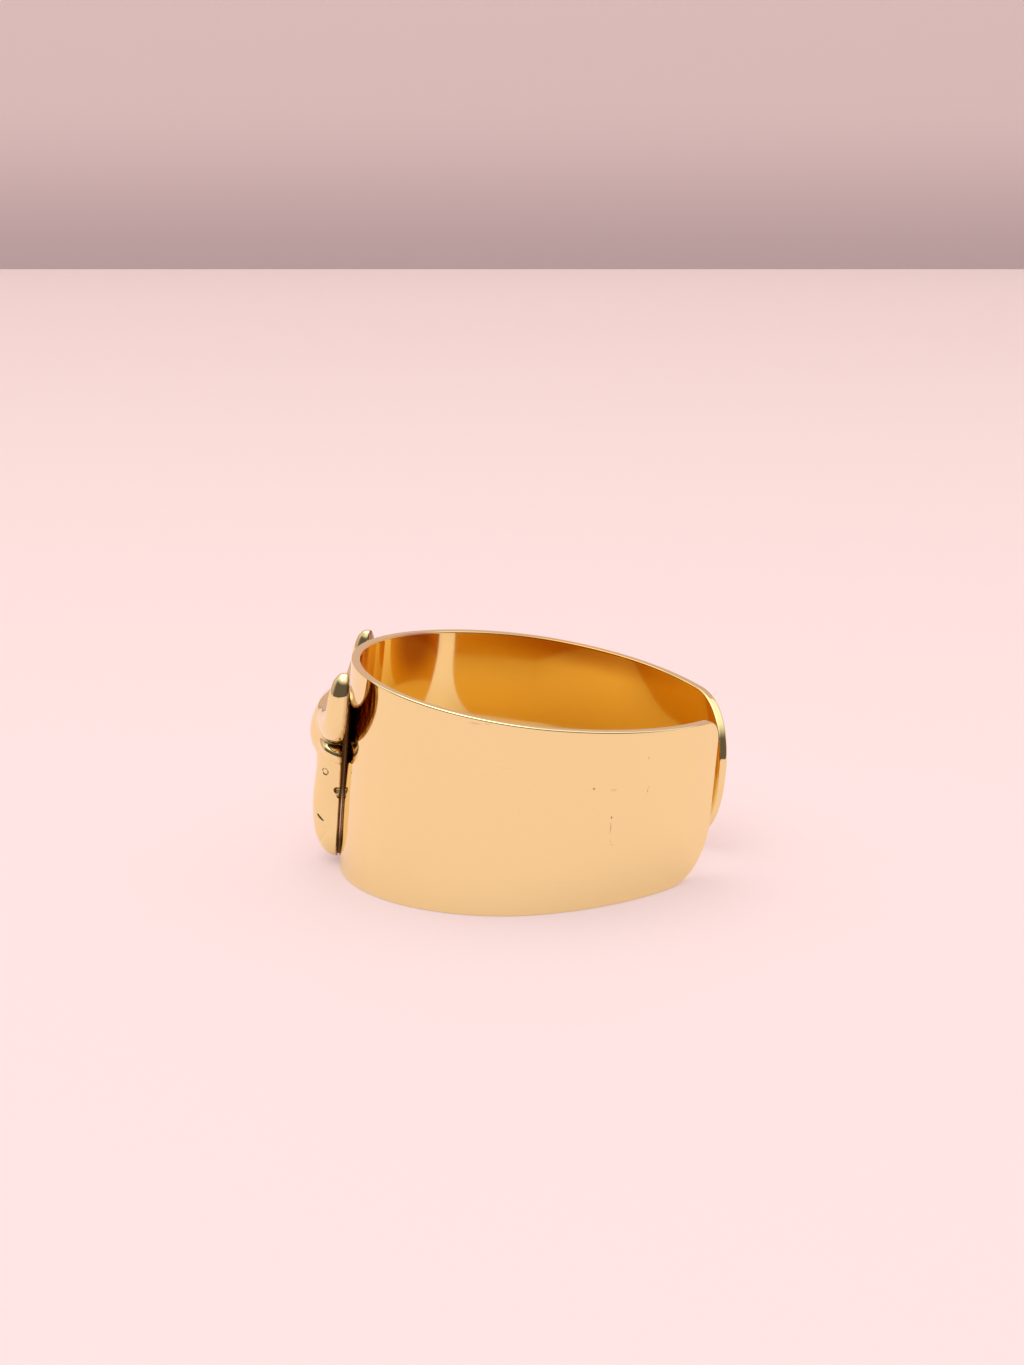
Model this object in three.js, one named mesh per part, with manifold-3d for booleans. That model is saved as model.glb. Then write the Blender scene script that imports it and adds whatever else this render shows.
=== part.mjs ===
// An open, adjustable ring: a broad polished band whose two ends can be pressed together
// or eased apart, with a cast horned head soldered flat to its front.
// Millimetres and degrees. The ring lies on its side on its lower rim, +Z up, with the
// head towards -Y and the gap between the band's ends at the back, towards +Y.
import * as THREE from "three";
import { mergeVertices } from "three/addons/utils/BufferGeometryUtils.js";
import Module from "manifold-3d";

// The band, in the ring's own frame: its axis is Z and its middle is at z = 0.
const hoopRadius = 9.25; // mean outer radius of the hoop that the band was bent to
const ovalShare = 0.041; // share by which the hoop is longer one way and shorter across it
const ovalTurn = 29.5; // the longer way lies this far round from the back, against the bearings
const pearShare = 0.013; // share by which the front is let out and the back drawn in
const flareReach = 75; // bearing at which the spring of the ends begins
const wall = 0.5; // thickness of the band
const edgeRadius = 0.1; // rounding of its polished edges, which leaves a flat land between
const middleWidth = 10.8; // width of the band at its sides
const widthSlope = 0.1526; // width gained for each millimetre towards the front
const nearEnd = {
  // the end on the +X side: its bearing from the back, its spring out of the hoop, its corners
  bearing: 11.3,
  flare: 2.9,
  upperCorner: 1.25,
  lowerCorner: 3.3,
};
const farEnd = { bearing: 359.5, flare: 2.6, upperCorner: 3.75, lowerCorner: 4.9 };
const stationStep = 3.75; // bearing between two sections of the band
const cornerSteps = 8; // sections over each rounded end
const panelRows = 3; // strips across the band between its rounded edges

// The head, in a frame of its own: u across, v up the band, t out from its flat back.
const headStandoff = 0.1; // the head's back stands this far off the front of the band
const faceFullness = 0.8; // 1 makes the face's sections half ellipses, less makes them fuller
const faceSides = 16; // facets round the face, from one edge of the back to the other
const limbSides = 12; // facets round a horn or an ear
const faceRows = [
  // v: height up the head, halfWidth and depth of the face there
  { v: 4.04, halfWidth: 0.4, depth: 0.35 },
  { v: 3.88, halfWidth: 0.85, depth: 0.85 },
  { v: 3.57, halfWidth: 1.3, depth: 1.27 },
  { v: 2.75, halfWidth: 1.8, depth: 1.78 },
  { v: 2.1, halfWidth: 2.05, depth: 1.97 },
  { v: 1.5, halfWidth: 2.15, depth: 2.02 },
  { v: 0.85, halfWidth: 2.15, depth: 1.88 },
  { v: 0.28, halfWidth: 2.02, depth: 1.6 },
  { v: -0.43, halfWidth: 1.85, depth: 1.55 },
  { v: -1.5, halfWidth: 1.66, depth: 1.6 },
  { v: -2.7, halfWidth: 1.52, depth: 1.65 },
  { v: -3.9, halfWidth: 1.58, depth: 1.53 },
  { v: -4.5, halfWidth: 1.64, depth: 1.4 },
  { v: -5.08, halfWidth: 1.48, depth: 1.15 },
  { v: -5.64, halfWidth: 1.0, depth: 0.76 },
  { v: -5.9, halfWidth: 0.55, depth: 0.4 },
  { v: -6.0, halfWidth: 0.3, depth: 0.2 },
];
const hornRows = [
  // u, v, t: middle of the horn, with its half width and half depth there, brow to tip
  { u: 0.6, v: 2.45, t: 0.55, halfWidth: 1.1, halfDepth: 0.95 },
  { u: 1.5, v: 2.52, t: 0.42, halfWidth: 1.12, halfDepth: 1.02 },
  { u: 2.4, v: 2.58, t: 0.22, halfWidth: 1.1, halfDepth: 1.02 },
  { u: 3.25, v: 2.88, t: 0.0, halfWidth: 1.0, halfDepth: 0.96 },
  { u: 3.95, v: 3.42, t: -0.16, halfWidth: 0.87, halfDepth: 0.9 },
  { u: 4.38, v: 4.1, t: -0.26, halfWidth: 0.78, halfDepth: 0.85 },
  { u: 4.52, v: 4.75, t: -0.31, halfWidth: 0.71, halfDepth: 0.81 },
  { u: 4.52, v: 5.22, t: -0.33, halfWidth: 0.62, halfDepth: 0.74 },
  { u: 4.5, v: 5.58, t: -0.33, halfWidth: 0.5, halfDepth: 0.62 },
  { u: 4.48, v: 5.86, t: -0.33, halfWidth: 0.35, halfDepth: 0.45 },
  { u: 4.47, v: 6.03, t: -0.33, halfWidth: 0.19, halfDepth: 0.25 },
  { u: 4.47, v: 6.1, t: -0.33, halfWidth: 0.05, halfDepth: 0.07 },
];
const earRows = [
  // u, v, t: middle of the ear, with its half width and half depth there, root to tip
  { u: 1.0, v: 1.05, t: 0.45, halfWidth: 0.45, halfDepth: 0.5 },
  { u: 1.6, v: 0.98, t: 0.36, halfWidth: 0.6, halfDepth: 0.66 },
  { u: 2.05, v: 0.9, t: 0.28, halfWidth: 0.67, halfDepth: 0.76 },
  { u: 2.4, v: 0.84, t: 0.2, halfWidth: 0.6, halfDepth: 0.7 },
  { u: 2.76, v: 0.79, t: 0.14, halfWidth: 0.42, halfDepth: 0.5 },
  { u: 2.95, v: 0.77, t: 0.11, halfWidth: 0.13, halfDepth: 0.16 },
];
const backRadius = 18.5; // the horns and ears are hollow behind, to follow the band round
const backSides = 96; // facets round that hollow
const backSetback = 0.01; // the hollow starts this far behind the face's flat back
const eye = { u: 1.58, v: -0.52, t: 0.8, radius: 0.2 }; // a small bead on each side
const nostril = { u: 1.38, v: -3.38, t: 0.95, radius: 0.24 }; // a round dent on each side
const beadSides = 10; // facets round an eye or a nostril
const solder = { halfWidth: 1, bottom: -5.6, top: 3.4, depth: 0.3, lap: 0.12 };
const cutter = 20; // size of the block that trims the face's back flat

const gold = { color: 0xe3b873, roughness: 0.12, metalness: 1 };

const toRadians = THREE.MathUtils.degToRad;
const wasm = await Module();
wasm.setup();

// Outer outline of the band seen along its axis, at a bearing read clockwise from the back.
function hoopPoint(bearing) {
  const angle = toRadians(bearing);
  const fromBack = Math.min(bearing, 360 - bearing);
  const spring = bearing < 180 ? nearEnd.flare : farEnd.flare;
  const flare = spring * Math.max(0, 1 - fromBack / flareReach) ** 2;
  const oval = ovalShare * Math.cos(2 * (angle + toRadians(ovalTurn)));
  const pear = pearShare * Math.cos(3 * angle);
  const radius = hoopRadius * (1 + oval - pear) + flare;
  return new THREE.Vector2(radius * Math.sin(angle), radius * Math.cos(angle));
}

// Middle of the wall and its outward direction, at a bearing.
function wallMiddle(bearing) {
  const step = 0.05; // degrees each way, to read the outline's direction
  const outer = hoopPoint(bearing);
  const along = hoopPoint(bearing + step).sub(hoopPoint(bearing - step)).normalize();
  const outward = new THREE.Vector2(-along.y, along.x);
  return { middle: outer.clone().addScaledVector(outward, -wall / 2), outward };
}

// Bearings of the band's sections, each with the nearer end and the distance along to it.
function bandStations() {
  const degreesPerMm = 360 / (2 * Math.PI * hoopPoint(0).length());
  const overCorner = (end, k) => {
    return end.lowerCorner * (1 - Math.cos((Math.PI / 2) * (k / cornerSteps)));
  };
  const stations = [];
  for (let k = 0; k < cornerSteps; k++) {
    const along = overCorner(nearEnd, k);
    stations.push({ bearing: nearEnd.bearing + along * degreesPerMm, along, end: nearEnd });
  }
  const first = nearEnd.bearing + nearEnd.lowerCorner * degreesPerMm;
  const last = farEnd.bearing - farEnd.lowerCorner * degreesPerMm;
  const count = Math.round((last - first) / stationStep);
  for (let k = 0; k <= count; k++) {
    const end = 2 * k < count ? nearEnd : farEnd;
    const bearing = first + ((last - first) * k) / count;
    stations.push({ bearing, along: end.lowerCorner, end });
  }
  for (let k = cornerSteps - 1; k >= 0; k--) {
    const along = overCorner(farEnd, k);
    stations.push({ bearing: farEnd.bearing - along * degreesPerMm, along, end: farEnd });
  }
  return stations;
}

// How far a quarter round of this radius has dropped, a distance in from where it starts.
function cornerDrop(along, radius) {
  const inside = Math.min(radius, Math.max(0, radius - along));
  return radius - Math.sqrt(radius ** 2 - inside ** 2);
}

// Distance of a point of the band from the nearest rim or end.
function edgeDistance({ along, end }, z, halfWidth) {
  const corner = z > 0 ? end.upperCorner : end.lowerCorner;
  const intoEnd = corner - along;
  const intoRim = Math.abs(z) - (halfWidth - corner);
  if (intoEnd > 0 && intoRim > 0) return corner - Math.hypot(intoEnd, intoRim);
  return Math.min(along, halfWidth - Math.abs(z));
}

// Thickness of the band at a distance from its edge, where both walls are rounded over.
function thicknessAt(distance) {
  return wall - 2 * cornerDrop(distance, edgeRadius);
}

// The rows of one section, from the lower rim to the upper one.
function rowHeights(low, high) {
  const shoulder = [0, 0.15, 0.5, 1].map((share) => share * edgeRadius);
  const bottom = shoulder.map((offset) => low + offset);
  const top = shoulder.map((offset) => high - offset).reverse();
  const from = bottom[bottom.length - 1];
  const to = top[0];
  const panel = [];
  for (let k = 1; k < panelRows; k++) panel.push(from + ((to - from) * k) / panelRows);
  return [...bottom, ...panel, ...top];
}

function meshFrom(points, triangles) {
  const geometry = new THREE.BufferGeometry();
  geometry.setAttribute("position", new THREE.Float32BufferAttribute(points, 3));
  geometry.setIndex(triangles);
  return geometry;
}

// Joins sections, each a ring of as many points, by quads, and closes both ends.
function skin(sections, closeEnd) {
  const ring = sections[0].length;
  const points = sections.flat().flatMap((p) => [p.x, p.y, p.z]);
  const triangles = [];
  for (let j = 0; j + 1 < sections.length; j++)
    for (let i = 0; i < ring; i++) {
      const a = j * ring + i;
      const b = j * ring + ((i + 1) % ring);
      triangles.push(a, b, b + ring, a, b + ring, a + ring);
    }
  closeEnd(triangles, 0, true);
  closeEnd(triangles, (sections.length - 1) * ring, false);
  return meshFrom(points, triangles);
}

// Half the band's width, which grows towards the front so that both rims lie in planes.
function halfWidthAt(y) {
  return (middleWidth - widthSlope * y) / 2;
}

// The band: at each station a ring of points up the outer wall and down the inner one.
function bandGeometry() {
  let rows = 0;
  const sections = bandStations().map((station) => {
    const { middle, outward } = wallMiddle(station.bearing);
    const halfWidth = halfWidthAt(middle.y);
    const low = -halfWidth + cornerDrop(station.along, station.end.lowerCorner);
    const high = halfWidth - cornerDrop(station.along, station.end.upperCorner);
    const heights = rowHeights(low, high);
    rows = heights.length;
    const side = (sign) =>
      heights.map((height) => {
        const thickness = thicknessAt(edgeDistance(station, height, halfWidth));
        const point = middle.clone().addScaledVector(outward, (sign * thickness) / 2);
        return new THREE.Vector3(point.x, point.y, (height * halfWidthAt(point.y)) / halfWidth);
      });
    return [...side(1), ...side(-1).reverse()];
  });
  const closeEnd = (triangles, start, isFirst) => {
    for (let i = 0; i + 1 < rows; i++) {
      const [a, b] = [start + i, start + i + 1];
      const [c, d] = [start + 2 * rows - 2 - i, start + 2 * rows - 1 - i];
      if (isFirst) triangles.push(a, d, c, a, c, b);
      else triangles.push(a, c, d, a, b, c);
    }
  };
  return skin(sections, closeEnd);
}

// A fan over a section that is convex.
const fanEnd = (ring) => (triangles, start, isFirst) => {
  for (let i = 1; i + 1 < ring; i++) {
    if (isFirst) triangles.push(start, start + i + 1, start + i);
    else triangles.push(start, start + i, start + i + 1);
  }
};

// The face: full half ellipses on a flat back, one for each row of its table.
function faceGeometry() {
  const fuller = (share) => Math.sign(share) * Math.abs(share) ** faceFullness;
  const sections = faceRows.map(({ v, halfWidth, depth }) => {
    const section = [];
    for (let i = 0; i <= faceSides; i++) {
      const angle = (Math.PI * i) / faceSides;
      const across = halfWidth * fuller(Math.cos(angle));
      section.push(new THREE.Vector3(across, -depth * fuller(Math.sin(angle)), v));
    }
    return section;
  });
  return skin(sections, fanEnd(faceSides + 1));
}

// A horn or an ear: oval sections square to the line through its table's points.
function limbGeometry(rows, side) {
  const centres = rows.map(({ u, v, t }) => new THREE.Vector3(side * u, -t, v));
  const outward = new THREE.Vector3(0, -1, 0);
  const sections = rows.map(({ halfWidth, halfDepth }, j) => {
    const next = centres[Math.min(j + 1, rows.length - 1)];
    const along = next.clone().sub(centres[Math.max(j - 1, 0)]).normalize();
    const across = new THREE.Vector3().crossVectors(outward, along).normalize();
    const depthwise = new THREE.Vector3().crossVectors(along, across);
    const section = [];
    for (let i = 0; i < limbSides; i++) {
      const angle = (2 * Math.PI * i) / limbSides;
      const point = centres[j].clone().addScaledVector(across, halfWidth * Math.cos(angle));
      section.push(point.addScaledVector(depthwise, halfDepth * Math.sin(angle)));
    }
    return section;
  });
  return skin(sections, fanEnd(limbSides));
}

function beadGeometry({ u, v, t, radius }, side) {
  return new THREE.SphereGeometry(radius, beadSides, beadSides / 2).translate(side * u, -t, v);
}

// A closed geometry as a solid for joining and cutting, whichever way its faces were wound.
function solidOf(geometry) {
  const bare = geometry.clone();
  bare.deleteAttribute("normal");
  bare.deleteAttribute("uv");
  const merged = mergeVertices(bare, 1e-5);
  const vertProperties = merged.getAttribute("position").array;
  const triVerts = new Uint32Array(merged.index.array);
  const build = () => new wasm.Manifold(new wasm.Mesh({ numProp: 3, vertProperties, triVerts }));
  const solid = build();
  if (solid.volume() > 0) return solid;
  for (let i = 0; i < triVerts.length; i += 3)
    [triVerts[i + 1], triVerts[i + 2]] = [triVerts[i + 2], triVerts[i + 1]];
  return build();
}

function geometryOf(solid) {
  const mesh = solid.getMesh();
  return meshFrom(Array.from(mesh.vertProperties), Array.from(mesh.triVerts));
}

// The whole head: the face on its flat back, the limbs, and the solder that carries it.
function headSolid() {
  const front = new THREE.BoxGeometry(cutter, cutter, cutter).translate(0, -cutter / 2, 0);
  const hollow = new THREE.CylinderGeometry(backRadius, backRadius, cutter, backSides);
  hollow.rotateX(Math.PI / 2).translate(0, backRadius + backSetback, 0);
  let head = solidOf(faceGeometry());
  for (const side of [-1, 1]) {
    head = head.add(solidOf(beadGeometry(eye, side)));
    head = head.subtract(solidOf(beadGeometry(nostril, side)));
  }
  head = head.intersect(solidOf(front));
  for (const side of [-1, 1])
    for (const rows of [hornRows, earRows])
      head = head.add(solidOf(limbGeometry(rows, side)).subtract(solidOf(hollow)));
  const height = solder.top - solder.bottom;
  const seat = new THREE.BoxGeometry(2 * solder.halfWidth, solder.depth + solder.lap, height);
  seat.translate(0, (solder.depth - solder.lap) / 2, (solder.top + solder.bottom) / 2);
  return head.add(solidOf(seat));
}

// The turn about Z that brings the front of the hoop square to -Y.
function squaringTurn() {
  const { outward } = wallMiddle(180);
  return Math.atan2(-outward.x, -outward.y);
}

// Band and head, soldered into one piece of metal.
function ringGeometry() {
  const front = hoopPoint(180);
  const { outward } = wallMiddle(180);
  const seat = front.clone().addScaledVector(outward, headStandoff);
  const place = new THREE.Matrix4().makeRotationZ(-squaringTurn());
  place.setPosition(seat.x, seat.y, 0);
  const head = solidOf(geometryOf(headSolid()).applyMatrix4(place));
  return geometryOf(solidOf(bandGeometry()).add(head));
}

const ring = new THREE.Mesh(ringGeometry(), new THREE.MeshStandardMaterial(gold));
ring.name = "ring";

// Lay the ring on its lower rim, whose plane slopes to the axis by half the width's slope.
const lying = new THREE.Group();
lying.rotation.x = -Math.atan(widthSlope / 2);
lying.add(ring);

const squared = new THREE.Group();
squared.rotation.z = squaringTurn();
squared.add(lying);

// The origin is under the middle of the ring's box, on the surface that it lies on.
const group = new THREE.Group();
group.add(squared);
group.updateMatrixWorld(true);
const box = new THREE.Box3().setFromObject(group, true);
const middle = box.getCenter(new THREE.Vector3());
squared.position.set(-middle.x, -middle.y, -box.min.z);

export default group;
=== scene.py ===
import math

import bpy
import numpy as np
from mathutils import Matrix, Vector


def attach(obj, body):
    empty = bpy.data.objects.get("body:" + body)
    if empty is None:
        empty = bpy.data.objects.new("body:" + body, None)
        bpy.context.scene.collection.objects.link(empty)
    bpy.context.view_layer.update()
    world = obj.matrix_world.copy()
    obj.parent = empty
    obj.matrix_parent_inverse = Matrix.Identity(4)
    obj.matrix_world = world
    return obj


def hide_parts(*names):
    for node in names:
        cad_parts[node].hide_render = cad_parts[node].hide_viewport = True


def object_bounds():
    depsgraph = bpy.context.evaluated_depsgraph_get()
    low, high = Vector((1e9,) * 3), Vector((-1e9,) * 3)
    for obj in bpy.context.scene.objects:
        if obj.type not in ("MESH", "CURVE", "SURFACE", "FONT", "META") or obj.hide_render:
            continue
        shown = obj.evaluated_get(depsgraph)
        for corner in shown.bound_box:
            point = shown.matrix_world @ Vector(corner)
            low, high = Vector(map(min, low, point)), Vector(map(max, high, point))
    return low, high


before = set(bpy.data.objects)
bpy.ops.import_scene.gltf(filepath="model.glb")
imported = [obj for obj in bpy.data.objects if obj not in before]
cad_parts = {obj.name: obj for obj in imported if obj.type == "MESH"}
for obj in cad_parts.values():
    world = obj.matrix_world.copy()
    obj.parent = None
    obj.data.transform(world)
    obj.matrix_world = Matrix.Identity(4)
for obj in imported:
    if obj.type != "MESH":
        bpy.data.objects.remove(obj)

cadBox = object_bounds()
millimetre = 0.001       # the ring is worked out in millimetres, the studio in metres
weldGap = 2e-5           # points in one cell of this size are one point
barely = 1e-6            # lengths that are divided by stay above this
print("frame loaded:", sorted(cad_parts))


# Turns a grid of points, closed round its columns, into triangles: each square of four
# neighbours is cut along a diagonal.
def gridTriangles(rows, columns):
    row = np.arange(rows - 1)[:, None]
    column = np.arange(columns)[None, :]
    beside = (column + 1) % columns
    a = row * columns + column
    b = row * columns + beside
    c = (row + 1) * columns + beside
    d = (row + 1) * columns + column
    first = np.stack([a, b, c], -1).reshape(-1, 3)
    second = np.stack([a, c, d], -1).reshape(-1, 3)
    return np.concatenate([first, second])


# Merges points that share a cell of weldGap, drops the triangles that this flattens, and says
# which of the points are kept.
def weld(points, triangles):
    keys = np.round(points / weldGap).astype(np.int64)
    _, kept, inverse = np.unique(keys, axis=0, return_index=True, return_inverse=True)
    merged = inverse.reshape(-1)[triangles]
    a, b, c = merged.T
    whole = (a != b) & (b != c) & (a != c)
    return points[kept], merged[whole], kept


# The volume under the triangles is a sixth of the sum of their corners' triple products;
# if it is negative the faces point inwards, so they are turned round.
def facingOut(points, triangles):
    a, b, c = (points[triangles[:, k]] for k in range(3))
    volume = np.einsum("ij,ij->i", a, np.cross(b, c)).sum() / 6
    return triangles if volume > 0 else triangles[:, ::-1]


# Puts points and triangles into a smooth-shaded mesh object; 'places' holds a value or a
# vector for each point, by name, for the finishes to read.
def meshPiece(name, points, triangles, places):
    triangles = facingOut(points, triangles)
    mesh = bpy.data.meshes.new(name)
    mesh.vertices.add(len(points))
    mesh.vertices.foreach_set("co", (points * millimetre).astype(np.float32).ravel())
    mesh.loops.add(3 * len(triangles))
    mesh.loops.foreach_set("vertex_index", triangles.astype(np.int32).ravel())
    mesh.polygons.add(len(triangles))
    mesh.polygons.foreach_set("loop_start", np.arange(0, 3 * len(triangles), 3, dtype=np.int32))
    mesh.polygons.foreach_set("use_smooth", np.ones(len(triangles), bool))
    mesh.update(calc_edges=True)
    mesh.validate()
    for label, values in places.items():
        kind, entry = ("FLOAT_VECTOR", "vector") if values.ndim == 2 else ("FLOAT", "value")
        layer = mesh.attributes.new(label, kind, "POINT")
        layer.data.foreach_set(entry, values.astype(np.float32).ravel())
    piece = bpy.data.objects.new(name, mesh)
    bpy.context.scene.collection.objects.link(piece)
    return piece


# The band: lengths in millimetres, angles in degrees. Its hoop is worked out upright, with its
# axis along Z and the front towards -Y, and laid on its lower rim afterwards.
band = {
    "hoopRadius": 9.25,     # mean outer radius of the hoop
    "ovalShare": 0.041,     # longer one way, shorter across it
    "ovalTurn": 29.5,       # where the longer way lies, against the bearings
    "pearShare": 0.013,     # the front let out and the back drawn in
    "flareReach": 75,       # bearing at which the spring of the ends begins
    "wall": 0.5,
    "edgeRadius": 0.1,      # rounding of the polished edges
    "middleWidth": 10.8,    # width at the sides
    "widthSlope": 0.1526,   # width gained for each millimetre towards the front
    # the end on the +X side, then the other one: bearing from the back, spring and corners
    "near": {"bearing": 11.3, "flare": 2.9, "upper": 1.25, "lower": 3.3},
    "far": {"bearing": 359.5, "flare": 2.6, "upper": 3.75, "lower": 4.9},
    "trackPoints": 6001,    # points along the wall at which its length is measured
    "trackStep": 0.05,      # bearing each way over which its direction is read
    "stations": 460,        # points along the long run of each rim
    "arcPoints": 18,        # points round each corner of an end
    "climbPoints": 20,      # points up the straight of an end, its corners' own among them
    "shelfPoints": 12,      # points of the upper rim between an upper corner and the long run
    "straightInset": 1.0,   # a straight edge is drawn in from a centre this far inside it
    "edgeSteps": 6,         # rows over each rounded edge
    "easing": (0.4, 0.2, 0.13),     # rows of the wall beside the edge, by distance from it
    "edgeMiddle": 0.6,      # row on the flat of the edge, as a share of the way to the rounding
    "wallRows": 7,          # rows from the easing to the middle of a wall
}


# Radius = hoop * (1 + oval * cos 2(b + turn) - pear * cos 3b) + flare * (1 - b/reach) squared
# near the ends; bearing b runs clockwise from the back.
def outerOutline(bearing):
    angle = np.radians(bearing)
    fromBack = np.minimum(bearing, 360 - bearing)
    spring = np.where(bearing < 180, band["near"]["flare"], band["far"]["flare"])
    flare = spring * np.maximum(0, 1 - fromBack / band["flareReach"]) ** 2
    oval = band["ovalShare"] * np.cos(2 * (angle + math.radians(band["ovalTurn"])))
    pear = band["pearShare"] * np.cos(3 * angle)
    radius = band["hoopRadius"] * (1 + oval - pear) + flare
    return np.stack([radius * np.sin(angle), radius * np.cos(angle)], -1)


# Middle of the wall and its outward direction: the outline's own direction turned a quarter.
def wallMiddle(bearing):
    step = band["trackStep"]
    along = outerOutline(bearing + step) - outerOutline(bearing - step)
    along /= np.linalg.norm(along, axis=-1, keepdims=True)
    outward = np.stack([-along[..., 1], along[..., 0]], -1)
    return outerOutline(bearing) - outward * band["wall"] / 2, outward


# Half the width grows in a straight line towards the front, so both rims lie in planes.
def halfWidthAt(y):
    return (band["middleWidth"] - band["widthSlope"] * y) / 2


bearings = np.linspace(band["near"]["bearing"], band["far"]["bearing"], band["trackPoints"])
wallTrack = wallMiddle(bearings)[0]
lengths = np.concatenate([[0], np.cumsum(np.linalg.norm(np.diff(wallTrack, axis=0), axis=1))])
bandLength = lengths[-1]
print("band length along the wall: %.2f mm" % bandLength)

frontFacing = wallMiddle(np.array(180.0))[1]
squaringTurn = math.atan2(-frontFacing[0], -frontFacing[1])
layingTurn = -math.atan(band["widthSlope"] / 2)


# Turns the pair (a, b) by an angle: a cos - b sin, a sin + b cos.
def turned(a, b, angle):
    c, s = math.cos(angle), math.sin(angle)
    return c * a - s * b, s * a + c * b


# Lays the ring on its lower rim, by a turn about X of half the width's slope, then brings its
# front square to -Y by a turn about Z.
def lying(points):
    x, y, z = (points[..., k] for k in range(3))
    y, z = turned(y, z, layingTurn)
    x, y = turned(x, y, squaringTurn)
    return np.stack([x, y, z], -1)


# The edge of the flattened band as a closed loop. Each point has a centre (distance along
# the band, distance in from the rim), a radius about it and an outward direction, so that
# the loop can be drawn in by any inset: centre + (radius - inset) * direction. The last
# number is the rim that the centre is measured from, 1 for the upper and -1 for the lower.
def edgeLoop():
    near, far, end, inside = band["near"], band["far"], bandLength, band["straightInset"]
    run = np.linspace(near["lower"], end - far["lower"], band["stations"])
    quarter = np.linspace(0, math.pi / 2, band["arcPoints"])
    sine, cosine = np.sin(quarter), np.cos(quarter)

    def part(centreAlong, centreIn, radius, outAlong, outIn, rim):
        columns = np.broadcast_arrays(centreAlong, centreIn, radius, outAlong, outIn, rim)
        return np.stack([np.asarray(c, float) for c in columns], -1)

    def corner(centreAlong, radius, outAlong, outIn, rim):
        return part(centreAlong, radius, radius, outAlong, outIn, rim)

    def climb(corners, halfWidth):
        top = 2 * halfWidth - corners["upper"]
        return np.linspace(corners["lower"], top, band["climbPoints"])[1:-1]

    def shelf(corners):
        return np.linspace(corners["upper"], corners["lower"], band["shelfPoints"])

    nearHalf, farHalf = halfWidthAt(wallTrack[0, 1]), halfWidthAt(wallTrack[-1, 1])
    return np.concatenate([
        part(run, inside, inside, 0, 1, -1),
        corner(end - far["lower"], far["lower"], sine, cosine, -1)[1:],
        part(end - inside, climb(far, farHalf), inside, 1, 0, -1),
        corner(end - far["upper"], far["upper"], cosine, sine, 1),
        part(end - shelf(far)[1:], inside, inside, 0, 1, 1),
        part(run[::-1][1:], inside, inside, 0, 1, 1),
        part(shelf(near)[::-1][1:], inside, inside, 0, 1, 1),
        corner(near["upper"], near["upper"], -sine, cosine, 1)[1:],
        part(inside, climb(near, nearHalf)[::-1], inside, -1, 0, -1),
        corner(near["lower"], near["lower"], -cosine, sine, -1)[:-1],
    ])


# Across the wall, from the middle of one face round the edge to the middle of the other:
# inset from the edge, share of the way on to the wall's middle line, and offset from mid wall.
# Over a rounded edge the inset is r(1 - cos a) while the face drops by r(1 - sin a).
def acrossRows():
    radius, half, easing = band["edgeRadius"], band["wall"] / 2, band["easing"]
    turn = np.linspace(0, math.pi / 2, band["edgeSteps"] + 1)[::-1]
    inset = radius * (1 - np.cos(turn))
    offset = half - radius * (1 - np.sin(turn))
    inward = np.linspace(1, 0, band["wallRows"] + 1)[:-1]
    rows = [(easing[0], share, half) for share in inward]
    rows += [(distance, 0, half) for distance in easing]
    rows += [(i, 0, o) for i, o in zip(inset, offset)]
    rows += [(0, 0, (half - radius) * band["edgeMiddle"])]
    rows = np.array(rows, float)
    mirrored = rows[::-1] * np.array([1, 1, -1])
    return np.concatenate([rows, mirrored])


# The band is a grid: round the edge loop one way, across the wall the other. A point lies at
# its bearing's mid wall, moved out by the row's offset; heights follow the rims' planes, and
# rows on a wall draw in by their share towards its middle line.
def bandSurface():
    loop = edgeLoop()[None, :, :]
    rows = acrossRows()[:, None, :]
    inset, share, offset = rows[..., 0], rows[..., 1], rows[..., 2]
    centreAlong, centreIn, radius, outAlong, outIn, rim = (loop[..., k] for k in range(6))
    along = centreAlong + (radius - inset) * outAlong
    fromRim = centreIn - (radius - inset) * outIn
    bearing = np.interp(along, lengths, bearings)
    height = rim * (halfWidthAt(wallMiddle(bearing)[0][..., 1]) - fromRim)
    middleAlong = np.clip(along, band["near"]["lower"], bandLength - band["far"]["lower"])
    along = along + share * (middleAlong - along)
    height = height * (1 - share)
    middle, outward = wallMiddle(np.interp(along, lengths, bearings))
    flat = middle + outward * offset[..., None]
    halfWidth = halfWidthAt(flat[..., 1])
    height = height * halfWidth / halfWidthAt(middle[..., 1])
    points = np.concatenate([flat, height[..., None]], -1).reshape(-1, 3)
    points, triangles, kept = weld(points, gridTriangles(*along.shape))
    offset = np.broadcast_to(offset, along.shape)
    wallPlace = np.stack([along, height, offset], -1).reshape(-1, 3)[kept]
    rimPlace = np.stack([along, halfWidth - height, offset], -1).reshape(-1, 3)[kept]
    return points, triangles, {"wallPlace": wallPlace, "rimPlace": rimPlace}


bandPoints, bandTriangles, bandPlaces = bandSurface()
bandPoints = lying(bandPoints)
shift = np.array([
    cadBox[1].x / millimetre - bandPoints[:, 0].max(),
    cadBox[1].y / millimetre - bandPoints[:, 1].max(),
    -bandPoints[:, 2].min(),
])
bandPoints += shift
bandPiece = meshPiece("band", bandPoints, bandTriangles, bandPlaces)
print("band: %d triangles, shift %s" % (len(bandTriangles), shift.round(4)))


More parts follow.
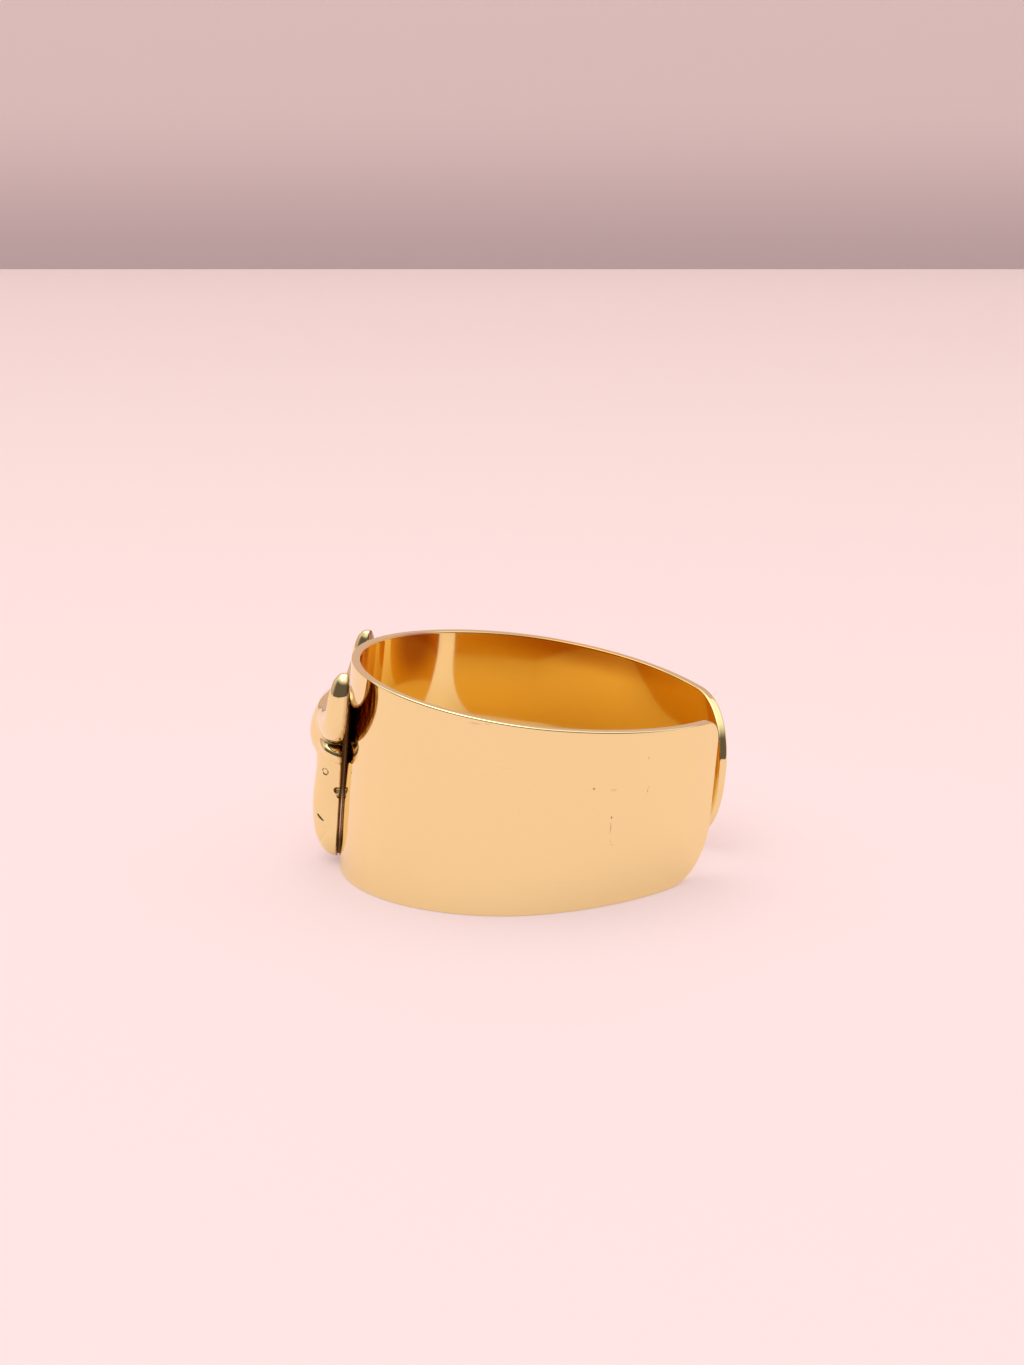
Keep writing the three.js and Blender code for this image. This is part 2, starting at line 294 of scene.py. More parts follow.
# The head is sculpted as a field of distances in its own frame: u across, v up, t out.
head = {
    "standoff": 0.1,        # the back stands this far off the front of the band
    "hollow": 0.027,        # the back follows the band: it drops by this share of across squared
    "fullness": 2.5,        # 2 makes the face's sections half ellipses, more makes them fuller
    "slimmest": 0.05,       # a section's half width and depth stay above this
    "endReach": 0.02,       # the face is cut off this far past the ends of its table
    "endSoftness": 0.15,    # rounding where it is cut off
    "edgeSoftness": 0.12,   # rounding where the face meets its back
    "hornBlend": 0.45,      # fillet between horn and brow
    "earBlend": 0.28,
    # height up the face, half width and depth there
    "face": [
        (-6.0, 0.30, 0.20), (-5.9, 0.55, 0.40), (-5.64, 1.00, 0.76), (-5.08, 1.48, 1.15),
        (-4.5, 1.64, 1.40), (-3.9, 1.58, 1.53), (-2.7, 1.52, 1.65), (-1.5, 1.66, 1.60),
        (-0.43, 1.85, 1.55), (0.28, 2.02, 1.60), (0.85, 2.15, 1.88), (1.5, 2.15, 2.02),
        (2.1, 2.05, 1.97), (2.75, 1.80, 1.78), (3.57, 1.30, 1.27), (3.88, 0.85, 0.85),
        (4.04, 0.40, 0.35),
    ],
    # middle of the horn (across, up, out), half width and half depth, brow to tip
    "horn": [
        (0.60, 2.45, 0.55, 1.10, 0.95), (1.50, 2.52, 0.42, 1.12, 1.02),
        (2.40, 2.58, 0.22, 1.10, 1.02), (3.25, 2.88, 0.0, 1.00, 0.96),
        (3.95, 3.42, -0.16, 0.87, 0.90), (4.38, 4.10, -0.26, 0.78, 0.85),
        (4.52, 4.75, -0.31, 0.71, 0.81), (4.52, 5.22, -0.33, 0.62, 0.74),
        (4.50, 5.56, -0.33, 0.50, 0.62), (4.48, 5.82, -0.33, 0.35, 0.45),
    ],
    # the same for the ear, root to tip
    "ear": [
        (1.00, 1.05, 0.45, 0.45, 0.50), (1.60, 0.98, 0.36, 0.60, 0.66),
        (2.05, 0.90, 0.28, 0.67, 0.76), (2.40, 0.84, 0.20, 0.60, 0.70),
    ],
    "earLean": 0.6,         # the ear leans in towards the band below its middle, by this slope
    "limbPoints": 26,       # points along a horn while the form is roughed out; an ear has half
    "finish": 5,            # times as many for the finished skin
    # each eye is a ball in a ring: the ring is cut 'groove' outside it, 'shell' of that each way
    "eye": {"place": (1.59, -0.52, 0.80), "radius": 0.17, "groove": 0.022, "shell": 0.6,
            "softness": 0.05},
    # a dent from one place to the other, narrowing to a share of its radius
    "nostril": {"from": (1.33, -3.17, 1.26), "to": (1.60, -3.50, 0.78), "radius": 0.19,
                "narrowing": 0.6, "softness": 0.1},
    "pits": [((1.66, -1.60, 0.10), 0.19), ((1.64, -1.95, 0.0), 0.12)],      # place and radius
    "pitSoftness": 0.06,
    "mouth": {"path": [(0, -5.35, 1.1), (0.8, -5.15, 1.1), (1.4, -4.7, 0.85), (1.62, -4.2, 0.65)],
              "radius": 0.08, "points": 9, "softness": 0.08},
    "unevenness": 0.0012,   # height of the waves a cast and polished face keeps
    # the waves along u, v and t: rate, how far they are bent and the rate of the bends
    "waves": [(4.9, 1.3, 2.3), (5.7, 1.1, 3.1), (6.1, 1.2, 2.9)],
    "recessReach": 0.3,     # how far out a hollow is felt for
}

# How the field is turned into a mesh.
net = {
    "cell": 0.055,
    "cellsAside": 100.5,    # the half cell makes the net the same on both sides
    "heights": (-6.2, 6.4),         # how far the net reaches up and out
    "depths": (-1.0, 2.3),
    "slopeStep": 0.01,      # distance each way over which the field's slope is read
    "tableStep": 0.02,      # the same for the slopes of the face's table
    "leastSpan": 0.001,     # keeps the middle of the face from dividing by nothing
    "leastSlope": 0.2,      # the face's steepness is taken to be no less than this
    "leastSquare": 0.05,    # nor the square of the field's slope, where points slide along it
    "slide": 0.05,          # the largest share of its slope that a point moves by in a round
    "roughRounds": 2,       # rounds on the rough form, then on the finished skin
    "fineRounds": 1,
}


# Between two rows of a table a column follows a cubic that leaves each at its neighbours' slope.
def smoothColumn(x, xs, ys):
    slopes = np.gradient(ys, xs)
    x = np.clip(x, xs[0], xs[-1])
    i = np.clip(np.searchsorted(xs, x) - 1, 0, len(xs) - 2)
    step = xs[i + 1] - xs[i]
    s = (x - xs[i]) / step
    return (ys[i] * (1 + 2 * s) * (1 - s) ** 2 + slopes[i] * step * s * (1 - s) ** 2
            + ys[i + 1] * s ** 2 * (3 - 2 * s) + slopes[i + 1] * step * s ** 2 * (s - 1))


# The lower of two distances, less (soft - gap) squared / 4 soft where their gap is under
# 'soft': a fillet between two forms.
def blended(a, b, soft):
    near = np.maximum(soft - np.abs(a - b), 0) / soft
    return np.minimum(a, b) - near ** 2 * soft / 4


# What is in a and not in b, with the edge eased by 'soft': the blend of a turned inside out
# with b, turned back.
def carved(a, b, soft):
    return -blended(-a, b, soft)


# Full half ellipse about the table's half width and depth: (u/width)^n + (t/depth)^n = 1,
# turned into a distance by dividing by the steepness of its left side at the skin below the point.
def faceField(u, v, t):
    table = np.array(head["face"])
    power, step = head["fullness"], net["tableStep"]

    def size(column, height):
        return np.maximum(smoothColumn(height, table[:, 0], table[:, column]), head["slimmest"])

    def slope(column):
        return (size(column, v + step) - size(column, v - step)) / (2 * step)

    width, depth = size(1, v), size(2, v)
    a, b = np.abs(u) / width, np.maximum(t, 0) / depth
    span = np.maximum((a ** power + b ** power) ** (1 / power), net["leastSpan"])
    fall = span ** (1 - power)
    alongU = fall * a ** (power - 1) / width
    alongT = fall * b ** (power - 1) / depth
    alongV = fall * (a ** power * slope(1) / width + b ** power * slope(2) / depth) / span
    steep = np.sqrt(alongU ** 2 + alongT ** 2 + alongV ** 2)
    field = (span - 1) / np.maximum(steep, net["leastSlope"])
    field = carved(field, table[-1, 0] + head["endReach"] - v, head["endSoftness"])
    return carved(field, v - table[0, 0] + head["endReach"], head["endSoftness"])


# Distance to a tube along a path: from the nearest point of each stretch, less the radius there.
# The cross-section is flattened by half depth over half width.
def tubeField(u, v, t, rows, samples):
    rows = np.array(rows, float)
    gaps = np.linalg.norm(np.diff(rows[:, :3], axis=0), axis=1)
    place = np.concatenate([[0], np.cumsum(gaps)])
    at = np.linspace(0, place[-1], samples)
    fine = np.stack([smoothColumn(at, place, rows[:, k]) for k in range(5)], -1)
    nearest = np.full(np.broadcast(u, v, t).shape, np.inf)
    for start, end in zip(fine[:-1], fine[1:]):
        line = end[:3] - start[:3]
        share = ((u - start[0]) * line[0] + (v - start[1]) * line[1] + (t - start[2]) * line[2])
        share = np.clip(share / (line @ line), 0, 1)
        width = start[3] + share * (end[3] - start[3])
        depth = start[4] + share * (end[4] - start[4])
        du = u - start[0] - share * line[0]
        dv = v - start[1] - share * line[1]
        dt = (t - start[2] - share * line[2]) * width / depth
        nearest = np.minimum(nearest, np.sqrt(du ** 2 + dv ** 2 + dt ** 2) - width)
    return nearest


# Distance to a ball: from its middle, less its radius.
def ballField(u, v, t, place, radius):
    return np.sqrt((u - place[0]) ** 2 + (v - place[1]) ** 2 + (t - place[2]) ** 2) - radius


# Distance to the back: the parabola t + hollow * u squared, over its own steepness.
def backField(u, t):
    hollow = head["hollow"]
    return (t + hollow * u ** 2) / np.sqrt(1 + (2 * hollow * u) ** 2)


# The whole head. It is the same on both sides, so distances are taken at |u|: the face with
# eye, nostril, pits and mouth carved out of it, the horn and the leant ear joined to it by
# fillets, and the back cut off. 'finish' multiplies the points along the horn and the ear.
def headField(u, v, t, finish=1):
    u = np.abs(u)
    eye, nostril, mouth, ear = head["eye"], head["nostril"], head["mouth"], head["ear"]
    points = head["limbPoints"] * finish
    field = faceField(u, v, t)
    shell = ballField(u, v, t, eye["place"], eye["radius"] + eye["groove"])
    field = carved(field, np.abs(shell) - eye["groove"] * eye["shell"], eye["softness"])
    wide, narrow = nostril["radius"], nostril["radius"] * nostril["narrowing"]
    dent = [(*nostril["from"], wide, wide), (*nostril["to"], narrow, narrow)]
    field = carved(field, tubeField(u, v, t, dent, len(dent)), nostril["softness"])
    for place, radius in head["pits"]:
        field = carved(field, ballField(u, v, t, place, radius), head["pitSoftness"])
    groove = [(*place, mouth["radius"], mouth["radius"]) for place in mouth["path"]]
    field = carved(field, tubeField(u, v, t, groove, mouth["points"]), mouth["softness"])
    field = blended(field, tubeField(u, v, t, head["horn"], points), head["hornBlend"])
    leant = t - head["earLean"] * (v - ear[-1][1])
    field = blended(field, tubeField(u, v, leant, ear, points // 2), head["earBlend"])
    return carved(field, backField(u, t), head["edgeSoftness"])


# The finished skin keeps faint waves: three crossed sines, each bent by another.
def finishedField(u, v, t):
    waves = sum(np.sin(rate * along + bend * np.sin(bendRate * other))
                for (rate, bend, bendRate), along, other in zip(head["waves"], (u, v, t), (v, t, u)))
    return headField(u, v, t, head["finish"]) + head["unevenness"] * waves


# A net over the field's zero: one point in each crossed cell, at the mean of the crossings on
# its edges, and a face round each crossed edge.
def netOver(field, low, high, cell):
    counts = np.ceil((np.array(high) - np.array(low)) / cell).astype(int)
    axes = [low[k] + cell * np.arange(counts[k] + 1) for k in range(3)]
    values = field(*np.meshgrid(*axes, indexing="ij", sparse=True))
    cells = tuple(n - 1 for n in values.shape)
    total, hits = np.zeros(cells + (3,)), np.zeros(cells)
    crossed = []

    # The cell that lies a step or none back from each crossed edge, along the other two axes.
    def cellBy(where, others, back):
        target = where.copy()
        target[:, others] -= np.array(back)
        return target

    for axis in range(3):
        others = [k for k in range(3) if k != axis]
        a, b = np.delete(values, -1, axis), np.delete(values, 0, axis)
        cross = (a < 0) != (b < 0)
        where = np.argwhere(cross)
        place = where.astype(float)
        place[:, axis] += a[cross] / (a[cross] - b[cross])
        for back in ((0, 0), (0, 1), (1, 0), (1, 1)):
            target = cellBy(where, others, back)
            good = ((target >= 0) & (target < np.array(cells))).all(1)
            index = tuple(target[good].T)
            np.add.at(total, index, place[good])
            np.add.at(hits, index, 1)
        # a face turns with the side that is inside; round the middle axis it turns the other way
        crossed.append((where, others, (a[cross] < 0) == (axis == 1)))
    used = hits > 0
    number = np.full(cells, -1)
    number[used] = np.arange(used.sum())
    points = total[used] / hits[used][:, None] * cell + np.array(low)
    faces = []
    for where, others, turnedRound in crossed:
        quad = np.stack([number[tuple(cellBy(where, others, back).T)]
                         for back in ((1, 1), (0, 1), (0, 0), (1, 0))], -1)
        quad[turnedRound] = quad[turnedRound, ::-1]
        faces.append(quad)
    faces = np.concatenate(faces)
    return points, np.concatenate([faces[:, [0, 1, 2]], faces[:, [0, 2, 3]]])


# The field's slope, from its change over a small step each way along every axis.
def slopeOf(field, points):
    step = net["slopeStep"]
    return np.stack([
        field(*(points + step * axis).T) - field(*(points - step * axis).T)
        for axis in np.eye(3)
    ], -1) / (2 * step)


# Slides points along the field's slope until they lie on its zero: in each round by the field
# over the slope squared, times the slope.
def settled(field, points, rounds):
    for _ in range(rounds):
        slope = slopeOf(field, points)
        square = np.maximum((slope ** 2).sum(1), net["leastSquare"])
        share = np.clip(field(*points.T) / square, -net["slide"], net["slide"])
        points = points - share[:, None] * slope
    return points


# Head frame to ring frame: out is the front wall's outward direction, across is square to it.
def onBand(points):
    front = outerOutline(np.array(180.0)) + head["standoff"] * frontFacing
    across = np.array([-frontFacing[1], frontFacing[0]])
    flat = front + points[..., :1] * across + points[..., 2:] * frontFacing
    return lying(np.concatenate([flat, points[..., 1:2]], -1)) + shift


# How sunken each place is: the field a little way out from the surface, short of that way.
# How squarely it faces the band: its outward direction, read against the way the head faces.
def headPlaces(points):
    outwards = slopeOf(finishedField, points)
    outwards /= np.maximum(np.linalg.norm(outwards, axis=1, keepdims=True), barely)
    reach = head["recessReach"]
    recess = np.clip(1 - headField(*(points + reach * outwards).T) / reach, 0, 1)
    backing = np.clip(-outwards[:, 2], 0, 1)
    return {"recess": recess, "backing": backing, "headPlace": points}


halfNet = net["cellsAside"] * net["cell"]
headLow, headHigh = zip((-halfNet, halfNet), net["heights"], net["depths"])
headPoints, headTriangles = netOver(headField, headLow, headHigh, net["cell"])
headPoints = settled(headField, headPoints, net["roughRounds"])
headPoints = settled(finishedField, headPoints, net["fineRounds"])
headPiece = meshPiece("head", onBand(headPoints), headTriangles, headPlaces(headPoints))
print("head: %d triangles" % len(headTriangles))


# The solder is a slab with rounded ends between the head's back and the wall of the band,
# placed in the head's own frame.
solder = {
    "halfWidth": 1.0,
    "bottom": -5.6,
    "top": 3.4,
    "depth": 0.3,           # from the head's back towards the band
    "lap": 0.12,            # how far it reaches into the head
    "squareness": 6.0,      # 2 makes its section an ellipse, more makes it a slab
    "points": 64,           # points round the section
    "rounding": 0.16,       # of its ends
    "endRows": 6,
    "endStart": 0.2,        # angle round the end, in radians, of the first of these rows
    "middleRows": 12,
    "middleInset": 0.6,     # how far from the ends they begin
}


# Section: |x/wide|^n + |y/deep|^n = 1. Round each end the height changes by r(1 - cos a) while
# the section is drawn in by r(1 - sin a), and a row closed to a point ends it.
def solderSurface():
    bottom, top, r, n = (solder[k] for k in ("bottom", "top", "rounding", "squareness"))
    around = np.linspace(0, 2 * math.pi, solder["points"], endpoint=False)
    cosine, sine = np.cos(around), np.sin(around)
    x = solder["halfWidth"] * np.sign(cosine) * np.abs(cosine) ** (2 / n)
    y = (solder["depth"] + solder["lap"]) / 2 * np.sign(sine) * np.abs(sine) ** (2 / n)
    turn = np.linspace(solder["endStart"], math.pi / 2, solder["endRows"])
    rise, drawnIn = r * (1 - np.cos(turn)), r * (1 - np.sin(turn))
    straight = np.linspace(bottom + solder["middleInset"], top - solder["middleInset"],
                           solder["middleRows"])
    heights = np.concatenate([[bottom], bottom + rise, straight, (top - rise)[::-1], [top]])
    inset = np.concatenate([[0], drawnIn, 0 * straight, drawnIn[::-1], [0]])[:, None]
    openness = np.ones((len(heights), 1))
    openness[[0, -1]] = 0
    across = openness * np.sign(x) * np.maximum(np.abs(x) - inset, 0)
    out = -(solder["depth"] - solder["lap"]) / 2 - openness * y
    points = np.stack(np.broadcast_arrays(across, heights[:, None], out), -1)
    return weld(points.reshape(-1, 3), gridTriangles(*across.shape))[:2]


solderPoints, solderTriangles = solderSurface()
solderPiece = meshPiece("solder", onBand(solderPoints), solderTriangles,
                        {"headPlace": solderPoints})
print("solder: %d triangles" % len(solderTriangles))


# The colours of the gold, then where and how strongly each of them shows.
goldFinish = {
    "outside": (0.925, 0.765, 0.388, 1),
    "inside": (0.935, 0.73, 0.30, 1),
    # painted shade: the inner wall's colour low down, darker than its own gold
    "insideLowShade": (0.84, 0.58, 0.12, 1),
    # painted shade: a dark patch high on the inner wall
    "innerShade": (0.52, 0.28, 0.20, 1),
    "rimShade": (0.56, 0.29, 0.06, 1),
    "mark": (0.36, 0.20, 0.09, 1),
    # painted shade, in streaks, over the back of the head that faces the band
    "backShade": (0.60, 0.37, 0.17, 1),
    # painted shade: in the head's hollows, over the solder in the corners of the seam, and in the
    # darker streaks on the head's back
    "darkShade": (0.12, 0.075, 0.03, 1),
    "seam": (0.85, 0.72, 0.55, 1),
    "roughness": 0.035,
    "hazeRoughness": 0.075,
    "hazeScale": 260,
    "hazeDetail": 4,
    "hazeSpan": (0.35, 0.75),       # levels of the noise between which the haze comes on
    "outerSpan": (-0.22, -0.1),     # offsets from mid wall: inside colour, then outside colour
    "deepSpan": (3, -1),            # heights between which the inside grows deeper: painted shade low down
    "backingSpan": (0.12, 0.5),     # how squarely the head faces the band, bright to painted shade
    "recessSpan": (0.3, 0.8),       # how sunken it is, bright to painted shade
    "streakScale": (7, 0.5, 7),     # streaks to a millimetre across, up and out
    "streakDetail": 2,
    "streakSpan": (0.42, 0.62),
    "streakStrength": 0.85,
    "coreOut": -0.093,              # middle of the solder's bright core, and half its thickness
    "coreHalf": 0.026,
    "coreEnds": ((-1.6, -2.6), (-4.7, -4.0)),   # heights over which it comes on at each end
}

# Places on the band: bearing and height of the middle, half size along and up in millimetres,
# softness of the edge as a share of the size, and how strongly it shows.
# A patch of painted shade high on the inner wall.
innerShade = [(221, 5.3, 2.3, 2.8, 0.75, 1.0)]
rimShade = [(290, 0.0, 9.6, 1.7, 0.8, 1.0)]      # height here is the way down from the upper rim
outerMarks = [
    (62.3, 1.89, 0.09, 0.09, 0.7, 0.9),
    (54.76, 0.17, 0.07, 0.1, 0.7, 0.9),
    (54.75, -0.42, 0.035, 0.5, 0.8, 0.7),
    (54.3, -1.2, 0.03, 0.2, 0.9, 0.3),
    (53.4, -1.4, 0.16, 0.03, 0.9, 0.3),
    (54.8, 1.74, 0.32, 0.11, 1.0, 0.2),
    (41.2, 1.65, 0.12, 0.03, 0.9, 0.45),
    (41.6, 1.45, 0.05, 0.16, 0.9, 0.6),
    (42.3, 3.34, 0.07, 0.07, 0.8, 0.55),
    (208.0, 2.35, 0.03, 0.3, 0.9, 0.5),
    (209.5, 1.8, 0.05, 0.12, 0.9, 0.45),
    (214.8, 1.68, 0.06, 0.2, 0.9, 0.3),
    (105.0, 5.28, 0.5, 0.07, 1.0, 0.35),
    (100.7, 5.33, 0.3, 0.06, 1.0, 0.3),
    (94.0, 3.0, 0.5, 0.025, 1.0, 0.18),
    (120.0, -2.6, 0.9, 0.015, 1.0, 0.15),
    (72.0, -3.4, 0.6, 0.012, 1.0, 0.2),
    (88.0, 0.6, 0.014, 0.5, 1.0, 0.15),
]


def newMaterial(name):
    material = bpy.data.materials.new(name)
    material.use_nodes = True
    tree = material.node_tree
    return material, tree, tree.nodes["Principled BSDF"]


def addNode(tree, kind, **settings):
    node = tree.nodes.new(kind)
    for key, value in settings.items():
        setattr(node, key, value)
    return node


# Gives a socket a value, or joins another node's output to it.
def feed(tree, socket, value):
    if isinstance(value, bpy.types.NodeSocket):
        tree.links.new(value, socket)
    else:
        socket.default_value = value


# A node of the kind that works out the operation from the values, and its output of that name.
def worked(tree, kind, operation, values, output):
    node = addNode(tree, kind, operation=operation)
    for socket, value in zip(node.inputs, values):
        feed(tree, socket, value)
    return node.outputs[output]


def numberMath(tree, operation, *values):
    return worked(tree, "ShaderNodeMath", operation, values, "Value")


def vectorMath(tree, operation, *values):
    output = "Value" if operation in ("LENGTH", "DOT_PRODUCT") else "Vector"
    return worked(tree, "ShaderNodeVectorMath", operation, values, output)


# 'low' up to 'start', 'high' from 'end' on, and in between by the kind of step.
def ranged(tree, value, start, end, low=0, high=1, kind="LINEAR"):
    node = addNode(tree, "ShaderNodeMapRange", interpolation_type=kind)
    limits = {"From Min": start, "From Max": end, "To Min": low, "To Max": high}
    for name, limit in limits.items():
        node.inputs[name].default_value = limit
    tree.links.new(value, node.inputs["Value"])
    return node.outputs["Result"]


# Colour a, turning to colour b by a factor.
def mixed(tree, factor, a, b):
    node = addNode(tree, "ShaderNodeMix", data_type="RGBA")
    for name, value in (("Factor", factor), ("A", a), ("B", b)):
        feed(tree, node.inputs[name], value)
    return node.outputs["Result"]


def noise(tree, place, scale, detail):
    node = addNode(tree, "ShaderNodeTexNoise")
    node.inputs["Scale"].default_value = scale
    node.inputs["Detail"].default_value = detail
    tree.links.new(place, node.inputs["Vector"])
    return node.outputs["Fac"]


def attribute(tree, name, output):
    return addNode(tree, "ShaderNodeAttribute", attribute_name=name).outputs[output]


def coordinate(tree, output):
    return addNode(tree, "ShaderNodeTexCoord").outputs[output]


def partsOf(tree, vector):
    node = addNode(tree, "ShaderNodeSeparateXYZ")
    tree.links.new(vector, node.inputs[0])
    return node.outputs


# Polished metal with a faint haze in its roughness, and the colour that the piece's own
# function works out.
def polishedGold(name, colourOf):
    material, tree, shader = newMaterial(name)
    shader.inputs["Metallic"].default_value = 1
    haze = noise(tree, coordinate(tree, "Object"), goldFinish["hazeScale"],
                 goldFinish["hazeDetail"])
    rough = ranged(tree, haze, *goldFinish["hazeSpan"], goldFinish["roughness"],
                   goldFinish["hazeRoughness"])
    tree.links.new(rough, shader.inputs["Roughness"])
    tree.links.new(colourOf(tree), shader.inputs["Base Color"])
    return material


# How far a spot of the band lies inside any of the listed places: 1 - distance from the middle
# in half sizes, eased over the softness, times the strength; the highest one counts.
def inPlaces(tree, spot, places):
    highest = None
    for bearing, height, halfAlong, halfUp, softness, strength in places:
        middle = (float(np.interp(bearing, bearings, lengths)), height, 0)
        offset = vectorMath(tree, "SUBTRACT", spot, middle)
        scaled = vectorMath(tree, "MULTIPLY", offset, (1 / halfAlong, 1 / halfUp, 0))
        distance = vectorMath(tree, "LENGTH", scaled)
        inside = ranged(tree, distance, 1 - softness, 1, strength, 0, "SMOOTHSTEP")
        highest = inside if highest is None else numberMath(tree, "MAXIMUM", highest, inside)
    return highest


# The band is a deeper gold on its inner wall, which lies at a negative offset. That wall is painted
# darker and deeper towards the bottom, in a patch high up and under its upper rim: painted shade.
# The outer wall keeps its small dark marks.
def bandColour(tree):
    wallPlace = attribute(tree, "wallPlace", "Vector")
    rimPlace = attribute(tree, "rimPlace", "Vector")
    parts = partsOf(tree, wallPlace)
    deep = ranged(tree, parts["Y"], *goldFinish["deepSpan"])
    inner = mixed(tree, deep, goldFinish["inside"], goldFinish["insideLowShade"])
    innerShaded = inPlaces(tree, wallPlace, innerShade)
    inner = mixed(tree, innerShaded, inner, goldFinish["innerShade"])
    inner = mixed(tree, inPlaces(tree, rimPlace, rimShade), inner, goldFinish["rimShade"])
    marked = inPlaces(tree, wallPlace, outerMarks)
    outer = mixed(tree, marked, goldFinish["outside"], goldFinish["mark"])
    return mixed(tree, ranged(tree, parts["Z"], *goldFinish["outerSpan"]), inner, outer)


# The head is painted dark in its hollows, painted shade, and over the back that faces the band it is
# painted shade in drawn-out brown streaks.
def headColour(tree):
    drawnOut = vectorMath(tree, "MULTIPLY", attribute(tree, "headPlace", "Vector"),
                          goldFinish["streakScale"])
    streaks = ranged(tree, noise(tree, drawnOut, 1, goldFinish["streakDetail"]),
                     *goldFinish["streakSpan"], 0, goldFinish["streakStrength"])
    streaked = mixed(tree, streaks, goldFinish["backShade"], goldFinish["darkShade"])
    backing = ranged(tree, attribute(tree, "backing", "Fac"), *goldFinish["backingSpan"])
    recess = ranged(tree, attribute(tree, "recess", "Fac"), *goldFinish["recessSpan"])
    colour = mixed(tree, backing, goldFinish["outside"], streaked)
    return mixed(tree, recess, colour, goldFinish["darkShade"])


# The solder is painted dark in both corners of the seam, painted shade, and bright between them, low
# down only.
def solderColour(tree):
    parts = partsOf(tree, attribute(tree, "headPlace", "Vector"))
    core = numberMath(tree, "COMPARE", parts["Z"], goldFinish["coreOut"], goldFinish["coreHalf"])
    for start, end in goldFinish["coreEnds"]:
        core = numberMath(tree, "MULTIPLY", core, ranged(tree, parts["Y"], start, end))
    return mixed(tree, core, goldFinish["darkShade"], goldFinish["seam"])


bandPiece.data.materials.append(polishedGold("bandGold", bandColour))
headPiece.data.materials.append(polishedGold("headGold", headColour))
solderPiece.data.materials.append(polishedGold("solderGold", solderColour))

for piece in (bandPiece, headPiece, solderPiece):
    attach(piece, "root")
    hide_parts("ring")
print("finishes: %d marks on the outer wall" % len(outerMarks))


# The view, then the stage: a pale floor that ends at a pale wall, and soft light.
view = {
    "place": (141.774, 12.324, 53.055),      # millimetres from the hoop's own centre and the floor
    "looking": (-0.95428, -0.08427, -0.28682),
    "lens": 70.03,
    "sensor": 36,
    "clip": (0.005, 20),                     # metres
}

# Metres, but for the colours and strengths.
studio = {
    "wallAway": 0.3863,       # from the camera to the wall's foot, along the floor
    "floorReach": 30.0,
    # The floor is painted darker away from the ring, painted shade where the light falls off, and
    # glows, painted light that lightens the shadows cast on it.
    "floorColour": (0.5, 0.393, 0.39, 1),
    "floorFarShade": (0.461, 0.358, 0.342, 1),
    "floorFrom": -0.02,       # where the floor's colour begins to change, from the ring
    "floorGlow": 0.92,
    # The wall is painted darker at its foot, a painted shadow, and glows, painted light that
    # brightens it.
    "wallHeight": 0.30,
    "wallFootShade": (0.475, 0.365, 0.375, 1),
    "wallColour": (0.645, 0.515, 0.508, 1),
    "wallFoot": 0.025,        # height at which the wall has its own colour
    "wallGlow": 0.35,
    "roughness": 0.6,
    "specular": 0.2,
    "skyLow": (0.13, 0.11, 0.105, 1),
    "skySide": (0.9, 0.86, 0.85, 1),
    "skyHigh": (1.25, 1.22, 1.21, 1),
    "climbSpan": (0.5, 0.85),
    "sideSpan": (-0.3, 0.4),
    "skyStrength": 1.0,
    "keySize": 0.5,
    "keyPower": 1.0,
    "keyColour": (1.0, 0.97, 0.95),
    "keyPlace": (0.05, -0.1, 0.55),
    "glossyBounces": 12,      # the walls of the hoop mirror each other many times
}


# A matt paint that turns from one colour to another along a direction, and glows: the turn carries
# painted shade, the glow painted light.
def rampMaterial(name, along, start, end, startColour, endColour, glow):
    material, tree, shader = newMaterial(name)
    reach = vectorMath(tree, "DOT_PRODUCT", coordinate(tree, "Object"), along)
    colour = mixed(tree, ranged(tree, reach, start, end, kind="SMOOTHSTEP"), startColour, endColour)
    tree.links.new(colour, shader.inputs["Base Color"])
    tree.links.new(colour, shader.inputs["Emission Color"])
    shader.inputs["Emission Strength"].default_value = glow
    shader.inputs["Roughness"].default_value = studio["roughness"]
    shader.inputs["Specular IOR Level"].default_value = studio["specular"]
    return material


# A plane of the stage, from the middle of its lower edge, half that edge and its other side.
def stagePlane(name, foot, aside, rise, paint):
    corners = [foot - aside, foot + aside, foot + aside + rise, foot - aside + rise]
    mesh = bpy.data.meshes.new(name)
    mesh.from_pydata(corners, [], [(0, 1, 2, 3)])
    mesh.materials.append(paint)
    plane = bpy.data.objects.new(name, mesh)
    bpy.context.scene.collection.objects.link(plane)


